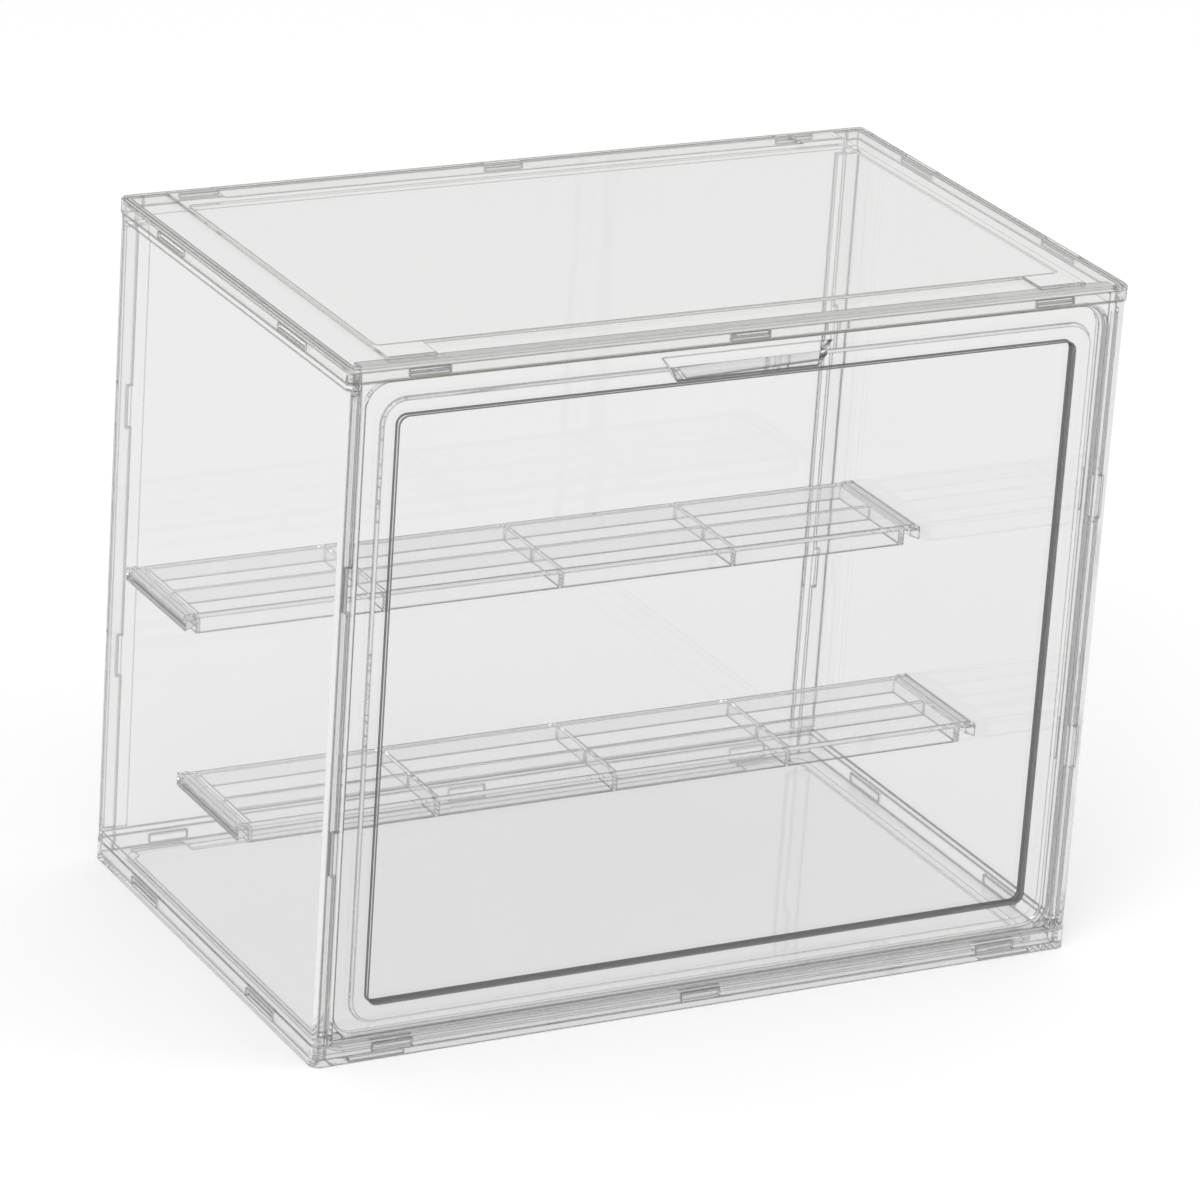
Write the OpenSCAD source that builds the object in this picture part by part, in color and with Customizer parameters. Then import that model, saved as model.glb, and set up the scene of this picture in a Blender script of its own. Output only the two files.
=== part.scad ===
// Clear snap-together display box with a drop-front door and two stepped shelves.
//
// Every panel is an injection-moulded shell of clear acrylic. The base and the lid are
// shallow trays: a low lip runs round each one and closes over the foot and the neck of
// the walls, where wedge tabs click into windows in the lip. Two side panels are C-shaped
// channels. Their flanges wrap the front frame and the back panel, which key into notches
// in the flange edges. The door stands in a pocket of the front frame and drops forward on
// two stub pins at its bottom corners. The shelves rest on ledges of the side panels.
//
// Frame: X is the width, Y the depth with the door at -Y, Z is up. The origin is the
// centre of the footprint, on the table.

/* [Box] */
// Outer width over the lips of the base and the lid
body_w = 300; // [240:5:400]
// Outer depth over the lips of the base and the lid
body_d = 190; // [170:5:260]
// Height from the table to the raised top of the lid
body_h = 254; // [220:1:340]
// Thickness of the moulded panels
sheet = 2.2; // [1.8:0.1:2.6]

/* [Lid and base] */
// Height of the lip under the lid's top face
lid_lip_h = 5.8; // [5:0.1:8]
// Height of the lip round the base
base_lip_h = 7.5; // [7:0.1:10]
// Thickness of both lips
lip_t = 1.4; // [1.2:0.1:1.6]
// Corner radius of the lid, seen from above
lid_corner_r = 2.5; // [2:0.5:4]
// Corner radius of the base, seen from above
base_corner_r = 3.5; // [3:0.5:5]
// Width of the flat border round the lid's raised panel
lid_border = 16; // [12:1:24]
// Width of the border that the base stands on, at its sides
base_border_x = 12; // [10:1:20]
// Width of the border that the base stands on, at its front and back
base_border_y = 11; // [10:1:20]
// Step from a border up to the raised panel
raise = 1; // [0.6:0.1:1.4]
// Length of each of the four stacking lugs, which step out at the corners
lug_w = 18; // [12:1:24]

/* [Walls] */
// Step from the face of a lip back to the face of the walls
wall_step = 0.4; // [0.3:0.1:0.6]
// Width of a side panel's front flange
front_flange_w = 4.6; // [4:0.1:7]
// Width of a side panel's back flange
back_flange_w = 7.6; // [6:0.1:10]
// Height of the thicker band along the foot and the neck of each wall, past the lip
band_past_lip = 3; // [2:0.5:6]
// Depth of the front frame behind the face of the walls
frame_depth = 6.9; // [6:0.1:9]

/* [Door] */
// Distance from the side of the box to the edge of the door
door_side = 7.5; // [7.2:0.1:9]
// Corner radius of the door
door_corner_r = 9.5; // [6:0.5:14]
// Width of the door's thin outer flange
door_flange_w = 5.8; // [5:0.1:8]
// Width of the raised rim round the door's pane
door_rim_w = 6.7; // [5:0.1:10]
// Thickness of the door at its flange
door_flange_t = 3.2; // [3:0.1:3.6]
// Thickness of the door at its raised rim
door_rim_t = 4.6; // [4.2:0.1:4.8]
// Corner radius of the pane
pane_corner_r = 3.5; // [2:0.5:8]
// Length of the finger recess along its upper edge
pull_w = 68; // [50:1:90]
// Height of the finger recess
pull_h = 9.2; // [8:0.1:9.6]
// Radius of the two stub pins that the door swings on
pivot_r = 1.2; // [1:0.1:1.4]

/* [Shelves] */
// Height of the lower shelf's top face
lower_z = 60.5; // [40:0.5:90]
// Height of the upper shelf's top face
upper_z = 119.5; // [95:0.5:160]
// Depth of each shelf
shelf_d = 47.5; // [36:0.5:60]
// Front edge of the lower shelf, from the centre of the box
lower_front = -22; // [-40:0.5:-16]
// Gap between the two shelves, seen from above
shelf_gap = 3; // [2:0.5:10]
// Height of the shelves' ribs, top sheet included
rib_h = 7.7; // [6:0.1:12]
// Thickness of the ribs
rib_t = 1.6; // [1.2:0.1:2]
// Number of cross ribs under each shelf
rib_count = 5; // [3:1:9]
// Width of the ledges that carry the shelves
ledge_w = 4; // [3:0.1:4.4]
// Height of the ledges
ledge_h = 3; // [2.5:0.1:5]

/* [Snap joints] */
// Width of the tabs and windows at the front and the back
front_snap_w = 15; // [10:1:20]
// Width of the tabs and windows at the sides
side_snap_w = 22; // [14:1:26]
// Distance from the centre plane to the outer front and back tabs
front_snap_x = 120; // [90:1:160]
// Distance from the centre plane to the side tabs
side_snap_y = 50; // [30:1:70]
// Height of the keys that lock the side panels to the front and the back
key_h = 16; // [10:1:24]
// Heights of the middle of the two keys on each edge
key_z = [79, 174.5];
// Gap between pieces that are snapped together
fit = 0.2; // [0.1:0.05:0.3]

/* [Hidden] */
$fn = 48;

over = 1;                 // how far a cut runs past the face it opens
clear_tint = [0.86, 0.88, 0.88, 0.35];
door_tint = [0.90, 0.92, 0.93, 0.35];
shelf_tint = [0.80, 0.82, 0.82, 0.45];

half_w = body_w / 2;
half_d = body_d / 2;

// Faces of the walls: the skin between the lips, and the band that stands inside them
skin_x = half_w - wall_step;
skin_y = half_d - wall_step;
skin_corner_r = 2.5;
band_x = half_w - lip_t - fit;
band_y = half_d - lip_t - fit;
band_corner_r = 2;
band_t = 1.8;

// Levels
border_z = body_h - raise;                    // top of the lid's border
lid_under_z = border_z - sheet;               // underside of the lid's border
lid_lip_z = border_z - lid_lip_h;             // lower edge of the lid's lip
foot_z = sheet;                               // walls stand on the base's border
neck_z = lid_under_z;                         // and carry the lid's
wall_z0 = base_lip_h + fit;
wall_z1 = lid_lip_z - fit;
foot_band_z = base_lip_h + band_past_lip;     // where the foot's band ends
neck_band_z = lid_lip_z - band_past_lip;      // where the neck's band starts

// Edges of the flanges, and of the frame and the back panel between them
front_edge_x = skin_x - front_flange_w;
back_edge_x = skin_x - back_flange_w;
key_reach = 1.8;
tongue_reach = skin_x - sheet - fit;          // a tongue ends at the side panel's web
tongue_y = skin_y - sheet - fit;              // and lies behind its flange
tongue_t = 1.8;
tongue_z0 = foot_band_z + 1.5;
tongue_z1 = neck_band_z - 1.5;

// Front frame and door
frame_x = front_edge_x - fit;
frame_back_y = -skin_y + frame_depth;
door_x = half_w - door_side;
door_z0 = base_lip_h + 0.6;
door_z1 = lid_lip_z - 0.8;
door_front_y = -skin_y;
door_back_y = door_front_y + door_rim_t;
door_flange_y = door_back_y - door_flange_t;
pane_x = door_x - door_flange_w - door_rim_w;
pane_z0 = door_z0 + door_flange_w + door_rim_w;
pane_z1 = door_z1 - door_flange_w - door_rim_w;
pane_y = door_back_y - sheet;
door_gap = 0.4;
stop_y = door_back_y + 0.3;                   // front face of the stop that the door shuts on
stop_x = door_x - 1.5;                        // and its inner edge
stop_z0 = door_z0 + 1.2;
stop_z1 = door_z1 - 1.2;
pivot_y = door_back_y - door_flange_t / 2;
pivot_z = door_z0 + door_flange_t / 2;
pivot_clearance = 0.05;

// Shelves
upper_front = lower_front + shelf_d + shelf_gap;
shelf_x = skin_x - sheet - 0.6;
rib_x = shelf_x - ledge_w - rib_t / 2 - 0.6;
rib_pitch = 2 * rib_x / (rib_count - 1);
ledge_stop_t = 1.8;
ledge_stop_h = 1.6;
shelf_play = 0.4;

// A rectangle with rounded corners, centred
module round_rect(w, d, r) {
    square([w - 2 * r, d], center = true);
    square([w, d - 2 * r], center = true);
    for (x = [-1, 1], y = [-1, 1])
        translate([x * (w / 2 - r), y * (d / 2 - r)]) circle(r);
}

// An upright slab between two depths, from an outline drawn in X and Z
module upright(y0, y1) {
    translate([0, y1, 0]) rotate([90, 0, 0]) linear_extrude(y1 - y0) children();
}

// An outline in X and Z with rounded corners, from one height to another
module upright_rect(half_x, z0, z1, r) {
    translate([0, (z0 + z1) / 2]) round_rect(2 * half_x, z1 - z0, r);
}

// A slab standing on z0, from an outline drawn in X and Y
module flat(z0, z1) {
    translate([0, 0, z0]) linear_extrude(z1 - z0) children();
}

// Snap joints

// A wedge along X that stands proud of a face towards -Y; its flat side is at z_catch
// and its ramp runs from there to z_ramp
module wedge(w, proud, z_ramp, z_catch) {
    lead = (z_catch > z_ramp) ? -0.7 : 0.7;
    rotate([90, 0, 90])
        linear_extrude(w, center = true)
            polygon([[0.5, z_ramp], [0, z_ramp], [-proud, z_catch + lead],
                     [-proud, z_catch], [0.5, z_catch]]);
}

window_play = 0.2;
tab_proud = lip_t - 0.1 + fit;
base_window = [2.8, 6];                       // lower and upper edge of the base's windows
lid_window = [lid_lip_z + 0.8, lid_lip_z + 3.3];

// Foot and neck tabs of one wall, whose band faces -Y at y_face
module wall_tabs(y_face, places, w) {
    for (x = places)
        translate([x, -y_face, 0]) {
            wedge(w - 2 * window_play, tab_proud,
                  base_window[0] + window_play, base_window[1] - window_play);
            wedge(w - 2 * window_play, tab_proud,
                  lid_window[1] - window_play, lid_window[0] + window_play);
        }
}

// The windows of one lip, cut through all four sides
module lip_windows(levels) {
    height = levels[1] - levels[0];
    for (side = [0, 180]) {
        rotate(side) for (x = [-front_snap_x, 0, front_snap_x])
            translate([x - front_snap_w / 2, -half_d - over, levels[0]])
                cube([front_snap_w, lip_t + over + 0.1, height]);
        rotate(side + 90) for (x = [-side_snap_y, side_snap_y])
            translate([x - side_snap_w / 2, -half_w - over, levels[0]])
                cube([side_snap_w, lip_t + over + 0.1, height]);
    }
}

// Keys of the front frame or the back panel. They stand at -Y and fill notches in the
// flange edges of the side panels.
module keys(edge_x, play) {
    for (side = [-1, 1], z = key_z)
        translate([side * edge_x, 0, z])
            translate([side < 0 ? -key_reach + play : -over, -skin_y + play, -key_h / 2 + play])
                cube([key_reach - play + over, sheet + fit + over, key_h - 2 * play]);
}

// Tongues that lie behind the flanges of the side panels, drawn at -Y
module tongues(root_x) {
    for (side = [-1, 1])
        translate([side > 0 ? root_x : -tongue_reach, -tongue_y, tongue_z0])
            cube([tongue_reach - root_x, tongue_t, tongue_z1 - tongue_z0]);
}

// Base and lid

// Outline of a lip, open in the middle
module lip_ring(corner_r) {
    difference() {
        round_rect(body_w, body_d, corner_r);
        round_rect(body_w - 2 * lip_t, body_d - 2 * lip_t, corner_r - lip_t);
    }
}

// Outline of the lid's raised panel with its four stacking lugs, or of the hollow that
// receives it when grown
module raised_outline(w, d, lug_reach, grow) {
    round_rect(w, d, 3);
    lug_x = (lid_raised_w - lug_w) / 2;
    for (x = [-lug_x, lug_x])
        translate([x, 0]) square([lug_w + 2 * grow, 2 * lug_reach], center = true);
}

base_hollow_w = body_w - 2 * base_border_x;
base_hollow_d = body_d - 2 * base_border_y;
lid_raised_w = body_w - 2 * lid_border;
lid_raised_d = body_d - 2 * lid_border;
lug_reach_y = half_d - 4;

module base_panel() {
    color(clear_tint)
        difference() {
            union() {
                flat(0, sheet) round_rect(body_w, body_d, base_corner_r);
                flat(0, base_lip_h) lip_ring(base_corner_r);
                flat(0, sheet + raise + fit)
                    round_rect(base_hollow_w + 2 * sheet, base_hollow_d + 2 * sheet, 4);
            }
            // Hollow underneath, which takes the lid of a box stacked below
            flat(-over, raise + fit)
                raised_outline(base_hollow_w, base_hollow_d, lug_reach_y + 1, 1.5);
            lip_windows(base_window);
        }
}

module lid_panel() {
    edge = 0.7;
    color(clear_tint)
        difference() {
            union() {
                // Border with a bevelled top edge, and the lip below it
                hull() {
                    flat(lid_under_z, border_z - edge)
                        round_rect(body_w, body_d, lid_corner_r);
                    flat(lid_under_z, border_z)
                        round_rect(body_w - 2 * edge, body_d - 2 * edge, lid_corner_r - edge);
                }
                flat(lid_lip_z, lid_under_z + over) lip_ring(lid_corner_r);
                flat(lid_under_z, body_h)
                    raised_outline(lid_raised_w, lid_raised_d, lug_reach_y, 0);
            }
            flat(lid_under_z - over, lid_under_z + raise)
                round_rect(lid_raised_w - 2 * sheet, lid_raised_d - 2 * sheet, 2);
            lip_windows(lid_window);
        }
}

// Walls

// Plan of the left side panel: a web with a flange at the front and one at the back
module channel_plan(face_x, face_y, t, corner_r) {
    intersection() {
        difference() {
            round_rect(2 * face_x, 2 * face_y, corner_r);
            round_rect(2 * (face_x - t), 2 * (face_y - t), 0.4);
        }
        union() {
            translate([-half_w, -half_d]) square([half_w - front_edge_x, half_d]);
            translate([-half_w, 0]) square([half_w - back_edge_x, half_d]);
        }
    }
}

// A ledge of the left side panel, with a stop at each end that keeps the shelf in place
module ledge(front, top_z) {
    web_x = -skin_x + sheet;
    y0 = front - shelf_play - ledge_stop_t;
    length = shelf_d + 2 * (shelf_play + ledge_stop_t);
    under = top_z - sheet;
    // The bearing bar, tapered underneath
    translate([web_x, y0 + length, under]) rotate([90, 0, 0])
        linear_extrude(length)
            polygon([[-over, 0], [ledge_w, 0], [ledge_w, -ledge_h / 2],
                     [0, -ledge_h], [-over, -ledge_h]]);
    for (y = [y0, y0 + length - ledge_stop_t])
        translate([web_x - over, y, under - over])
            cube([ledge_w + over, ledge_stop_t, ledge_stop_h + over]);
}

// Drawn on the left, at -X; the right one is its mirror image
module side_panel() {
    difference() {
        union() {
            flat(wall_z0, wall_z1) channel_plan(skin_x, skin_y, sheet, skin_corner_r);
            flat(foot_z, foot_band_z) channel_plan(band_x, band_y, band_t, band_corner_r);
            flat(neck_band_z, neck_z) channel_plan(band_x, band_y, band_t, band_corner_r);
            ledge(lower_front, lower_z);
            ledge(upper_front, upper_z);
            rotate(-90) wall_tabs(band_x, [-side_snap_y, side_snap_y], side_snap_w);
        }
        // Notches in the flange edges for the keys
        keys(front_edge_x, 0);
        rotate(180) keys(back_edge_x, 0);
    }
}

module left_panel() { color(clear_tint) side_panel(); }

module right_panel() { color(clear_tint) mirror([1, 0, 0]) side_panel(); }

module back_panel() {
    edge_x = back_edge_x - fit;
    root_x = edge_x - 4;
    color(clear_tint)
        rotate(180) {
            upright(-skin_y, -skin_y + sheet)
                upright_rect(edge_x, wall_z0, wall_z1, 0.1);
            // Thicker bands inside the lips
            for (z = [[foot_z, foot_band_z], [neck_band_z, neck_z]])
                upright(-band_y, -band_y + band_t) upright_rect(edge_x, z[0], z[1], 0.1);
            wall_tabs(band_y, [-front_snap_x, 0, front_snap_x], front_snap_w);
            tongues(root_x);
            // Posts that join the tongues to the panel
            for (side = [-1, 1])
                translate([side > 0 ? root_x : -edge_x, -tongue_y - sheet, tongue_z0])
                    cube([edge_x - root_x, sheet + tongue_t, tongue_z1 - tongue_z0]);
            keys(edge_x, window_play);
        }
}

// Outline of the pocket that the door stands in: round above, square where the pins are
module pocket_outline() {
    top_z = wall_z1;
    x = door_x + door_gap;
    upright_rect(x, wall_z0 + over, top_z, door_corner_r + door_gap);
    translate([-x, wall_z0 - 0.01]) square([2 * x, 2 * door_corner_r]);
}

module front_frame() {
    color(clear_tint)
        difference() {
            union() {
                upright(-skin_y, frame_back_y)
                    upright_rect(frame_x, wall_z0, wall_z1, 0.1);
                upright(-band_y, frame_back_y)
                    upright_rect(frame_x, foot_z, neck_z, 0.1);
                wall_tabs(band_y, [-front_snap_x, 0, front_snap_x], front_snap_w);
                tongues(frame_x - over);
                keys(frame_x, window_play);
            }
            upright(-half_d - over, stop_y) pocket_outline();
            upright(-half_d - over, frame_back_y + over)
                upright_rect(stop_x, stop_z0, stop_z1, door_corner_r - 1.5);
            // Bearings for the door's pins
            translate([0, pivot_y, pivot_z]) rotate([0, 90, 0])
                cylinder(r = pivot_r + pivot_clearance, h = body_w, center = true);
        }
}

// Door

// Finger recess: wide at the top, with slanted ends, deepest under its upper edge
module finger_recess() {
    top_z = door_z1 - 1.8;
    taper = 5;
    floor_y = door_flange_y + 1;
    hull() {
        upright(floor_y - 0.2, floor_y)
            polygon([[-pull_w / 2 + 2, top_z - 0.8], [pull_w / 2 - 2, top_z - 0.8],
                     [pull_w / 2 - taper, top_z - pull_h / 2],
                     [-pull_w / 2 + taper, top_z - pull_h / 2]]);
        upright(door_front_y - over, door_front_y)
            polygon([[-pull_w / 2, top_z], [pull_w / 2, top_z],
                     [pull_w / 2 - taper - 2, top_z - pull_h],
                     [-pull_w / 2 + taper + 2, top_z - pull_h]]);
    }
}

module door_panel() {
    bevel = 0.8;
    rim_x = door_x - door_flange_w;
    rim_r = door_corner_r - 0.5;
    rim_z0 = door_z0 + door_flange_w;
    rim_z1 = door_z1 - door_flange_w;
    color(door_tint)
        union() {
            difference() {
                union() {
                    // Thin outer flange, with a round lower edge on the pivot axis
                    upright(door_flange_y, door_back_y)
                        upright_rect(door_x, pivot_z, door_z1, door_corner_r);
                    upright(door_flange_y, door_back_y)
                        difference() {
                            upright_rect(door_x, door_z0, door_z1, door_corner_r);
                            translate([-half_w, door_z0 - over])
                                square([body_w, pivot_z - door_z0 + over]);
                        }
                    translate([0, pivot_y, pivot_z]) rotate([0, 90, 0])
                        cylinder(d = door_flange_t, h = 2 * (door_x - 4.5), center = true);
                    // Raised rim
                    hull() {
                        upright(door_front_y + bevel, door_back_y)
                            upright_rect(rim_x, rim_z0, rim_z1, rim_r);
                        upright(door_front_y, door_back_y)
                            upright_rect(rim_x - bevel, rim_z0 + bevel, rim_z1 - bevel,
                                         rim_r - bevel);
                    }
                }
                // Sunken face of the pane
                upright(door_front_y - over, pane_y)
                    upright_rect(pane_x, pane_z0, pane_z1, pane_corner_r);
                finger_recess();
            }
            // Stub pins
            for (side = [-1, 1])
                translate([side * (frame_x - 0.3), pivot_y, pivot_z])
                    rotate([0, side * -90, 0]) cylinder(r = pivot_r, h = 10);
        }
}

// Shelves

// A step shelf: a sheet with a flange at the front, in the middle and at the back, and
// cross ribs between them
module step_shelf(front, top_z) {
    under = top_z - rib_h;
    translate([-shelf_x, front, top_z - sheet]) cube([2 * shelf_x, shelf_d, sheet]);
    for (y = [0, (shelf_d - rib_t) / 2, shelf_d - rib_t])
        translate([-rib_x, front + y, under]) cube([2 * rib_x, rib_t, rib_h]);
    for (i = [0:rib_count - 1])
        translate([-rib_x + i * rib_pitch - rib_t / 2, front, under])
            cube([rib_t, shelf_d, rib_h]);
}

module upper_shelf() { color(shelf_tint) step_shelf(upper_front, upper_z); }

module lower_shelf() { color(shelf_tint) step_shelf(lower_front, lower_z); }

base_panel();
lid_panel();
back_panel();
left_panel();
right_panel();
front_frame();
door_panel();
upper_shelf();
lower_shelf();
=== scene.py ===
"""Looks of a clear acrylic display box: camera, studio and the finish of every panel."""

import math

import bpy
from mathutils import Matrix, Vector


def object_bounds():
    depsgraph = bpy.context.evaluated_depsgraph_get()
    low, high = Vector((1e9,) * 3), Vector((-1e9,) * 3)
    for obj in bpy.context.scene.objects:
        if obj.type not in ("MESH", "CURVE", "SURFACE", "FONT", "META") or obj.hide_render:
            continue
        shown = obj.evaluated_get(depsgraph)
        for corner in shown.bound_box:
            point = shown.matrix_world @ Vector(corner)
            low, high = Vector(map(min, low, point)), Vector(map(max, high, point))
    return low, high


# Camera of the photograph, in degrees, metres and pixels of its 1200 x 1200 frame
IMAGE_SIZE = 1200
CAMERA_AZIMUTH = -28.69
CAMERA_ELEVATION = 21.35
CAMERA_ROLL = 3.93
CAMERA_DISTANCE = 2.2515
FOCAL_PIXELS = 6320.8
CENTRE_OFFSET_PIXELS = (-0.5, -24.4)
SENSOR_WIDTH = 36.0

# Table, and what is seen of it off and through the acrylic
FLOOR_SIZE = 12.0
FLOOR_DROP = 0.0003
TABLE_COLOUR = 0.8
TABLE_GLOW = 0.42
TABLE_COLOUR_THROUGH = 0.3
TABLE_GLOW_THROUGH = 0.68

# Sky. It darkens overhead, between two heights of the direction looked in
WORLD_LIGHT = 0.8
WHITE_SKY = 1.0
DARK_SKY = 0.3
SKY_DARKENS_FROM = 0.4
SKY_DARKENS_TO = 0.9

# Lamps: place and size in metres, power in watts
KEY_PLACE = (-1.3, -1.1, 1.7)
KEY_SIZE = (1.2, 0.9)
KEY_POWER = 11
FILL_PLACE = (1.6, -0.9, 1.1)
FILL_SIZE = (0.9, 1.2)
FILL_POWER = 5

# How often light may bounce in the sheets, and pass straight through them
LIGHT_PATHS = 28
CLEAR_PATHS = 64

# Acrylic, and the light that is trapped in its sheets
ACRYLIC_IOR = 1.49
TRAPPED_BOUNCES = 7.5
ESCAPE_TINT = (0.96, 0.96, 0.96, 1)

# Painted shade: a grey line along every arris, standing in for the dark that refraction gives an
# acrylic edge. Agreement is that of the true normal with a rounded edge's
EDGE_WIDTH = 0.0008
EDGE_SAMPLES = 3
EDGE_CLEARNESS = 0.2
FACE_AGREEMENT = 0.999
EDGE_AGREEMENT = 0.94

# Painted shade on the bevelled wall round the door's sunken pane, the darkest line of the box,
# standing in for the dark that refraction gives that wall
PANE_HALF_WIDTH = 0.1300
PANE_HALF_HEIGHT = 0.10665
PANE_MIDDLE_HEIGHT = 0.12725
PANE_CORNER = 0.0035
PANE_SHADE_WIDTH = 0.0009
PANE_SHADE_TINT = (0.21, 0.21, 0.21)

# Slow clouds of tone and polish, and the ripple that moulding leaves on a face
CLOUD_SCALE = 9.0
CLOUD_DETAIL = 2.0
CLOUD_SHADE = 0.975
POLISH_FROM = 0.3
POLISH_TO = 0.7
DULLEST_ROUGHNESS = 0.035
RIPPLE_SCALE = 22.0
RIPPLE_DETAIL = 1.0
RIPPLE_DEPTH = 0.0008
RIPPLE = 0.05
DOOR_RIPPLE = 0.04

# Tints of the sheets, and the painted shade along their edges
SHELL_TINT = (0.967, 0.969, 0.965)
SHELL_EDGE_SHADE_TINT = (0.20, 0.20, 0.196)
TOP_TINT = (0.965, 0.965, 0.96)
TOP_EDGE_SHADE_TINT = (0.36, 0.345, 0.30)
DOOR_TINT = (0.968, 0.97, 0.968)
DOOR_EDGE_SHADE_TINT = (0.18, 0.18, 0.18)
STEP_TINT = (0.955, 0.955, 0.955)
STEP_EDGE_SHADE_TINT = (0.17, 0.17, 0.17)

# Places of a Mix node's colour sockets, which share their names with its other ones
COLOUR_A = 6
COLOUR_B = 7
COLOUR_RESULT = 2


def add_node(tree, kind, **settings):
    """A node with its properties and unlinked inputs set by name."""
    node = tree.nodes.new(kind)
    for name, value in settings.items():
        if hasattr(node, name):
            setattr(node, name, value)
        else:
            node.inputs[name.replace("_", " ")].default_value = value
    return node


def calculate(tree, operation, first, second=0.0):
    """A sum on a socket, whose second term is a number or another socket."""
    node = add_node(tree, "ShaderNodeMath", operation=operation)
    tree.links.new(first, node.inputs[0])
    if isinstance(second, float):
        node.inputs[1].default_value = second
    else:
        tree.links.new(second, node.inputs[1])
    return node.outputs[0]


def switch(tree, ray, otherwise, chosen):
    """The value chosen where the ray switch is 1, and the other one elsewhere."""
    mix = add_node(tree, "ShaderNodeMix", data_type="FLOAT")
    tree.links.new(ray, mix.inputs["Factor"])
    for socket, value in (("A", otherwise), ("B", chosen)):
        if isinstance(value, float):
            mix.inputs[socket].default_value = value
        else:
            tree.links.new(value, mix.inputs[socket])
    return mix.outputs["Result"]


def blend_colours(tree, amount, start, end):
    """A colour that goes from start to end with the amount, each a tint or a socket."""
    mix = add_node(tree, "ShaderNodeMix", data_type="RGBA")
    tree.links.new(amount, mix.inputs["Factor"])
    for place, colour in ((COLOUR_A, start), (COLOUR_B, end)):
        if isinstance(colour, tuple):
            mix.inputs[place].default_value = (*colour, 1)
        else:
            tree.links.new(colour, mix.inputs[place])
    return mix.outputs[COLOUR_RESULT]


def ray_kinds(tree):
    """Two switches: 1 for a camera ray, and 1 for a ray that comes off or through acrylic."""
    path = add_node(tree, "ShaderNodeLightPath")
    bent = calculate(tree, "MAXIMUM", path.outputs["Is Glossy Ray"],
                     path.outputs["Is Transmission Ray"])
    return path.outputs["Is Camera Ray"], bent


def make_world():
    """White behind the box, a plain light on it, and a darker sky overhead that draws its edges."""
    world = bpy.data.worlds.new("studio")
    bpy.context.scene.world = world
    world.use_nodes = True
    tree = world.node_tree
    tree.nodes.clear()
    camera_ray, bent_ray = ray_kinds(tree)
    direction = add_node(tree, "ShaderNodeTexCoord")
    parts = add_node(tree, "ShaderNodeSeparateXYZ")
    tree.links.new(direction.outputs["Generated"], parts.inputs[0])
    sky = add_node(tree, "ShaderNodeMapRange", interpolation_type="SMOOTHSTEP",
                   From_Min=SKY_DARKENS_FROM, From_Max=SKY_DARKENS_TO,
                   To_Min=WHITE_SKY, To_Max=DARK_SKY)
    tree.links.new(parts.outputs["Z"], sky.inputs["Value"])
    light = switch(tree, bent_ray, WORLD_LIGHT, sky.outputs[0])
    background = add_node(tree, "ShaderNodeBackground")
    tree.links.new(switch(tree, camera_ray, light, WHITE_SKY), background.inputs["Strength"])
    output = add_node(tree, "ShaderNodeOutputWorld")
    tree.links.new(background.outputs[0], output.inputs["Surface"])


def make_floor():
    """A pale table that turns white in the picture and keeps the soft shadow of the box."""
    half = FLOOR_SIZE / 2
    mesh = bpy.data.meshes.new("floor")
    corners = [(-half, -half), (half, -half), (half, half), (-half, half)]
    mesh.from_pydata([(x, y, -FLOOR_DROP) for x, y in corners], [], [(0, 1, 2, 3)])
    floor = bpy.data.objects.new("floor", mesh)
    bpy.context.scene.collection.objects.link(floor)
    material = bpy.data.materials.new("pale_table")
    material.use_nodes = True
    tree = material.node_tree
    tree.nodes.clear()
    camera_ray, bent_ray = ray_kinds(tree)
    matt = add_node(tree, "ShaderNodeBsdfDiffuse")
    tree.links.new(switch(tree, bent_ray, TABLE_COLOUR, TABLE_COLOUR_THROUGH), matt.inputs["Color"])
    glow = add_node(tree, "ShaderNodeEmission")
    seen_glow = switch(tree, camera_ray, 0.0, TABLE_GLOW)
    tree.links.new(switch(tree, bent_ray, seen_glow, TABLE_GLOW_THROUGH), glow.inputs["Strength"])
    both = add_node(tree, "ShaderNodeAddShader")
    tree.links.new(matt.outputs[0], both.inputs[0])
    tree.links.new(glow.outputs[0], both.inputs[1])
    output = add_node(tree, "ShaderNodeOutputMaterial")
    tree.links.new(both.outputs[0], output.inputs["Surface"])
    mesh.materials.append(material)


def make_softbox(name, place, target, size, power):
    """A rectangular soft lamp turned to the box."""
    lamp = bpy.data.lights.new(name, "AREA")
    lamp.shape = "RECTANGLE"
    lamp.size, lamp.size_y = size
    lamp.energy = power
    box = bpy.data.objects.new(name, lamp)
    box.location = place
    box.rotation_euler = (Vector(target) - Vector(place)).to_track_quat("-Z", "Y").to_euler()
    bpy.context.scene.collection.objects.link(box)


def make_camera(centre):
    """The photograph's camera, from its angles round the middle of the box."""
    azimuth = math.radians(CAMERA_AZIMUTH)
    elevation = math.radians(CAMERA_ELEVATION)
    roll = math.radians(CAMERA_ROLL)
    back = Vector((math.sin(azimuth) * math.cos(elevation),
                   -math.cos(azimuth) * math.cos(elevation),
                   math.sin(elevation)))
    level_right = (-back).cross(Vector((0, 0, 1))).normalized()
    level_up = level_right.cross(-back)
    right = level_right * math.cos(roll) + level_up * math.sin(roll)
    up = level_up * math.cos(roll) - level_right * math.sin(roll)
    metres_per_pixel = CAMERA_DISTANCE / FOCAL_PIXELS
    across, down = CENTRE_OFFSET_PIXELS
    place = (centre + back * CAMERA_DISTANCE
             - right * across * metres_per_pixel + up * down * metres_per_pixel)
    camera = bpy.data.cameras.new("camera")
    camera.sensor_width = SENSOR_WIDTH
    camera.lens = FOCAL_PIXELS / IMAGE_SIZE * SENSOR_WIDTH
    holder = bpy.data.objects.new("camera", camera)
    turn = Matrix((right, up, back)).transposed().to_4x4()
    holder.matrix_world = Matrix.Translation(place) @ turn
    bpy.context.scene.collection.objects.link(holder)
    bpy.context.scene.camera = holder


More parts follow.
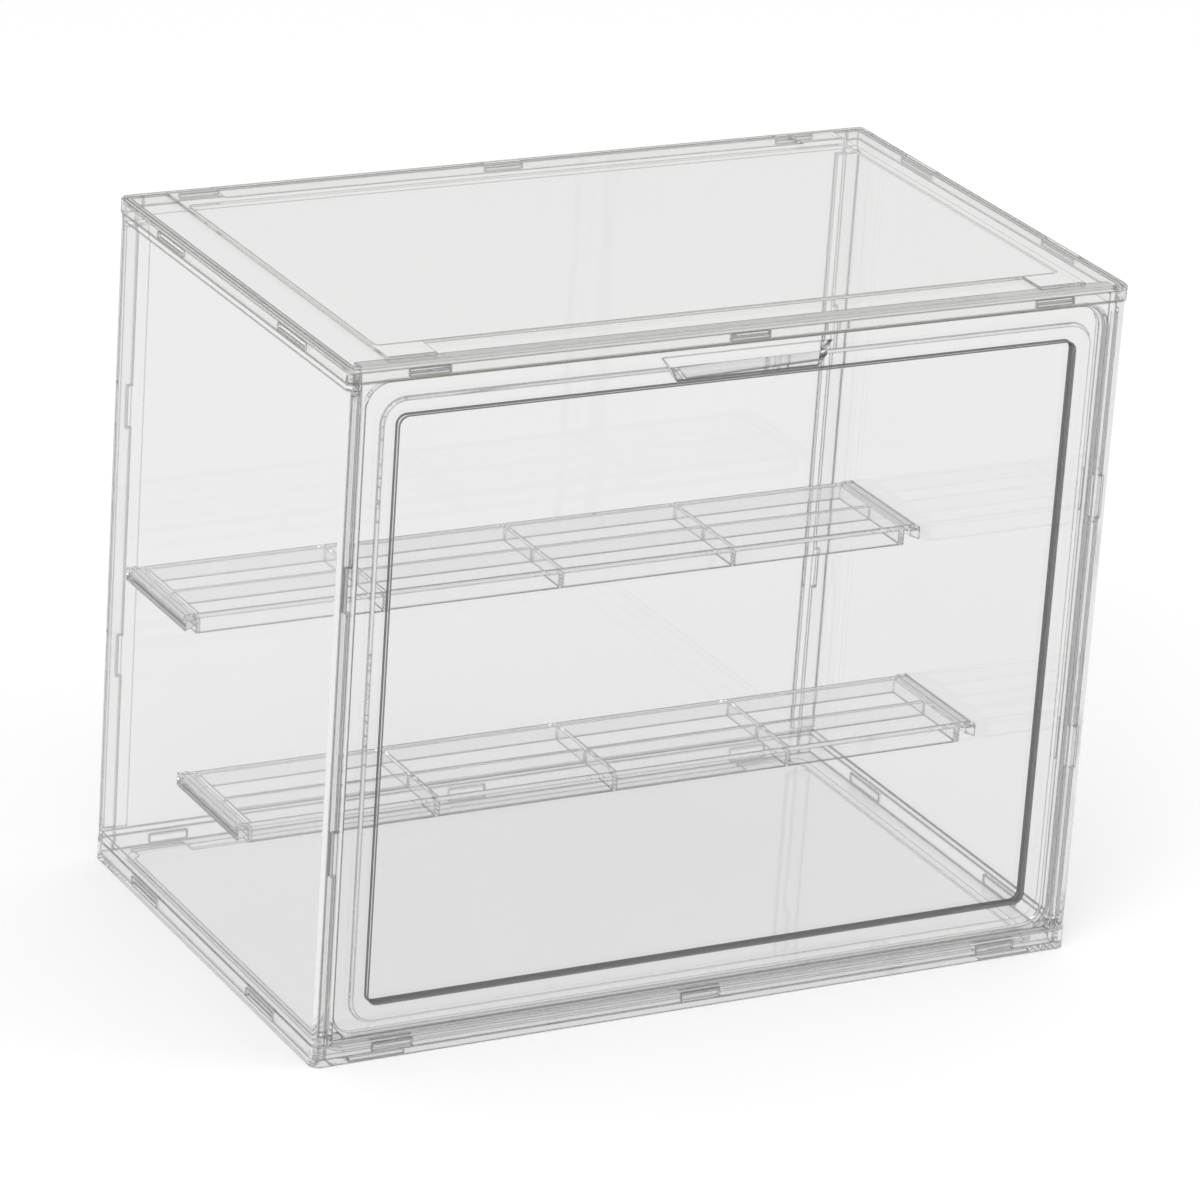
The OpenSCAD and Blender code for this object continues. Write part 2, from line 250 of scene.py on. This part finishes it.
def painted_edge_shade_mask(tree):
    """Mask of the painted edge shade: 1 along every sharp edge of a moulded piece, falling to 0
    within the width of an arris.
    """
    surface = add_node(tree, "ShaderNodeNewGeometry")
    rounded = add_node(tree, "ShaderNodeBevel", samples=EDGE_SAMPLES, Radius=EDGE_WIDTH)
    agreement = add_node(tree, "ShaderNodeVectorMath", operation="DOT_PRODUCT")
    tree.links.new(surface.outputs["True Normal"], agreement.inputs[0])
    tree.links.new(rounded.outputs["Normal"], agreement.inputs[1])
    mask = add_node(tree, "ShaderNodeMapRange", interpolation_type="SMOOTHSTEP",
                    From_Min=FACE_AGREEMENT, From_Max=EDGE_AGREEMENT, To_Min=0.0, To_Max=1.0)
    tree.links.new(agreement.outputs["Value"], mask.inputs["Value"])
    return mask.outputs[0]


def painted_pane_shade(tree, place):
    """Mask of painted shade: 1 on the bevelled wall round the door's pane, a rounded rectangle, and
    0 elsewhere.
    """
    parts = add_node(tree, "ShaderNodeSeparateXYZ")
    tree.links.new(place, parts.inputs[0])
    across = calculate(tree, "ABSOLUTE", parts.outputs["X"])
    side = calculate(tree, "SUBTRACT", across, PANE_HALF_WIDTH - PANE_CORNER)
    from_middle = calculate(tree, "SUBTRACT", parts.outputs["Z"], PANE_MIDDLE_HEIGHT)
    upward = calculate(tree, "ABSOLUTE", from_middle)
    above = calculate(tree, "SUBTRACT", upward, PANE_HALF_HEIGHT - PANE_CORNER)
    side_over = calculate(tree, "POWER", calculate(tree, "MAXIMUM", side, 0.0), 2.0)
    above_over = calculate(tree, "POWER", calculate(tree, "MAXIMUM", above, 0.0), 2.0)
    outside = calculate(tree, "SQRT", calculate(tree, "ADD", side_over, above_over))
    inside = calculate(tree, "MINIMUM", calculate(tree, "MAXIMUM", side, above), 0.0)
    from_corner = calculate(tree, "ADD", outside, inside)
    from_wall = calculate(tree, "ABSOLUTE", calculate(tree, "SUBTRACT", from_corner, PANE_CORNER))
    return calculate(tree, "LESS_THAN", from_wall, PANE_SHADE_WIDTH / 2)


def acrylic(name, tint, edge_shade_tint, ripple, has_pane=False):
    """Clear moulded acrylic: a faint tint, painted grey shade along its edges and round the door's
    pane, and the slow ripple of a moulded face.
    """
    material = bpy.data.materials.new(name)
    material.use_nodes = True
    tree = material.node_tree
    tree.nodes.clear()
    place = add_node(tree, "ShaderNodeTexCoord").outputs["Object"]

    clouds = add_node(tree, "ShaderNodeTexNoise", Scale=CLOUD_SCALE, Detail=CLOUD_DETAIL)
    tree.links.new(place, clouds.inputs["Vector"])
    shaded_tint = tuple(channel * CLOUD_SHADE for channel in tint)
    tone = blend_colours(tree, clouds.outputs[0], shaded_tint, tint)
    polish = add_node(tree, "ShaderNodeMapRange", From_Min=POLISH_FROM, From_Max=POLISH_TO,
                      To_Min=0.0, To_Max=DULLEST_ROUGHNESS)
    tree.links.new(clouds.outputs[0], polish.inputs["Value"])

    # Painted shade: along the arrises, and on the door round its pane, the sheet loses clearness
    # and takes a grey shade colour, standing in for the dark lines that refraction draws
    edges = painted_edge_shade_mask(tree)
    shade_line_colour = edge_shade_tint
    if has_pane:
        wall = painted_pane_shade(tree, place)
        edges = calculate(tree, "MAXIMUM", edges, wall)
        shade_line_colour = blend_colours(tree, wall, edge_shade_tint, PANE_SHADE_TINT)
    clearness = add_node(tree, "ShaderNodeMapRange", To_Min=1.0, To_Max=EDGE_CLEARNESS)
    tree.links.new(edges, clearness.inputs["Value"])

    swell = add_node(tree, "ShaderNodeTexNoise", Scale=RIPPLE_SCALE, Detail=RIPPLE_DETAIL)
    tree.links.new(place, swell.inputs["Vector"])
    relief = add_node(tree, "ShaderNodeBump", Strength=ripple, Distance=RIPPLE_DEPTH)
    tree.links.new(swell.outputs[0], relief.inputs["Height"])

    plastic = add_node(tree, "ShaderNodeBsdfPrincipled", IOR=ACRYLIC_IOR)
    tree.links.new(blend_colours(tree, edges, tone, shade_line_colour), plastic.inputs["Base Color"])
    tree.links.new(clearness.outputs[0], plastic.inputs["Transmission Weight"])
    tree.links.new(polish.outputs[0], plastic.inputs["Roughness"])
    tree.links.new(relief.outputs[0], plastic.inputs["Normal"])

    # Light trapped in a sheet leaves it here, as it does at a far edge of the real one
    path = add_node(tree, "ShaderNodeLightPath")
    lost = calculate(tree, "GREATER_THAN", path.outputs["Ray Depth"], TRAPPED_BOUNCES)
    straight = add_node(tree, "ShaderNodeBsdfTransparent", Color=ESCAPE_TINT)
    mixed = add_node(tree, "ShaderNodeMixShader")
    tree.links.new(lost, mixed.inputs[0])
    tree.links.new(plastic.outputs[0], mixed.inputs[1])
    tree.links.new(straight.outputs[0], mixed.inputs[2])
    output = add_node(tree, "ShaderNodeOutputMaterial")
    tree.links.new(mixed.outputs[0], output.inputs["Surface"])
    return material


def finish_panels(nodes):
    """Gives every moulded piece its acrylic."""
    shell = acrylic("clear_shell", SHELL_TINT, SHELL_EDGE_SHADE_TINT, RIPPLE)
    top = acrylic("clear_top", TOP_TINT, TOP_EDGE_SHADE_TINT, RIPPLE)
    door = acrylic("clear_door", DOOR_TINT, DOOR_EDGE_SHADE_TINT, DOOR_RIPPLE, has_pane=True)
    step = acrylic("clear_step", STEP_TINT, STEP_EDGE_SHADE_TINT, RIPPLE)
    finishes = {"lid_panel": top, "door_panel": door, "upper_shelf": step, "lower_shelf": step}
    for name, panel in nodes.items():
        panel.data.materials.clear()
        panel.data.materials.append(finishes.get(name, shell))


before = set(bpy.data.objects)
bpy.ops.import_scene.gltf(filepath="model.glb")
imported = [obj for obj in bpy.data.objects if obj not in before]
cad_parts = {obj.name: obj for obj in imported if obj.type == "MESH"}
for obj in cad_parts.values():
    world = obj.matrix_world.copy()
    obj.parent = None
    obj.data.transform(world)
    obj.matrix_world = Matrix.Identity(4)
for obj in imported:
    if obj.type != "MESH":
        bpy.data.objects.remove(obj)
cad_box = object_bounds()
low, high = cad_box
middle = (low + high) / 2

make_camera(middle)
make_world()
make_floor()
make_softbox("key_softbox", KEY_PLACE, middle, KEY_SIZE, KEY_POWER)
make_softbox("fill_softbox", FILL_PLACE, middle, FILL_SIZE, FILL_POWER)
finish_panels(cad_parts)

scene = bpy.context.scene
scene.view_settings.view_transform = "Standard"
scene.cycles.max_bounces = LIGHT_PATHS
scene.cycles.transmission_bounces = LIGHT_PATHS
scene.cycles.glossy_bounces = LIGHT_PATHS
scene.cycles.transparent_max_bounces = CLEAR_PATHS
